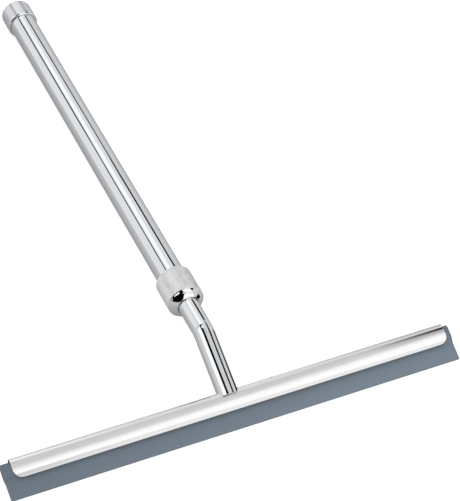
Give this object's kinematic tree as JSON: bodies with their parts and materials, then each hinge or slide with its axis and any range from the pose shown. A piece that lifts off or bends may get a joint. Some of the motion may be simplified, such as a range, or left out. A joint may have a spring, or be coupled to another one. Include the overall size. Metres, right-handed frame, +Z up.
{
  "type": "window cleaning squeegee",
  "caption": "Window squeegee with a rubber blade in a folded metal holder, a bent neck and an extending round handle locked by a knurled ring.",
  "frame": {"origin": "middle of the rubber's rear lip edge, where it rests on the surface", "axes": "+X along the blade, +Y from the blade towards the handle's end, +Z up from the surface"},
  "size_m": [0.355, 0.4976, 0.0463],
  "materials": {
    "holder_steel": "polished",
    "blade_rubber": "matte",
    "weld_bead": "polished",
    "neck_chrome": "mirror polished",
    "tube_chrome": "mirror polished",
    "ring_chrome": "knurled, polished end",
    "cap_satin": "fine satin",
    "collar_brass": "as turned",
    "pin_steel": "plain",
    "white_nylon": "natural",
    "black_nylon": "moulded",
    "seal_rubber": "matte"
  },
  "bodies": {
    "handle": {"outer_tube": "tube_chrome", "threaded_collar": "collar_brass", "collar_seal": "seal_rubber", "mouth_liner": "white_nylon", "collet": "white_nylon", "stop_buffer": "seal_rubber", "cap_insert": "collar_brass", "cap_stud": "pin_steel", "cap_seal": "seal_rubber", "end_cap": "cap_satin"},
    "lock_nut": {"lock_ring": "ring_chrome", "ring_wiper": "seal_rubber"},
    "lock_washer": {"slip_washer": "pin_steel"},
    "slider": {"guide_rings": "white_nylon", "friction_ring": "seal_rubber"},
    "head": {"inner_tube": "neck_chrome", "guide_bush": "black_nylon", "bush_pin": "pin_steel", "neck_weld": "weld_bead", "blade_holder": "holder_steel"},
    "blade": {"rubber_blade": "blade_rubber"}
  },
  "joints": [
    {"name": "ring_advance", "type": "slide", "parent": "handle", "child": "lock_washer", "axis": [0, -0.9988, 0.0486], "range_m": [0, 0.0015]},
    {"name": "ring_turn", "type": "hinge", "parent": "lock_washer", "child": "lock_nut", "pos_m": [0, 0.1192, 0.03117], "axis": [0, -0.9988, 0.0486], "range_deg": [0, 360]},
    {"name": "handle_extend", "type": "slide", "parent": "handle", "child": "slider", "axis": [0, -0.9988, 0.0486], "range_m": [0, 0.285]},
    {"name": "head_swivel", "type": "hinge", "parent": "slider", "child": "head", "pos_m": [0, 0.27132, 0.02377], "axis": [0, -0.9988, 0.0486], "continuous": true},
    {"name": "rubber_slide", "type": "slide", "parent": "head", "child": "blade", "axis": [1, 0, 0], "range_m": [-0.3, 0.3]}
  ],
  "couplings": [
    {"joint": "ring_turn", "follows": "ring_advance", "rad_per_m": 4188.8}
  ]
}
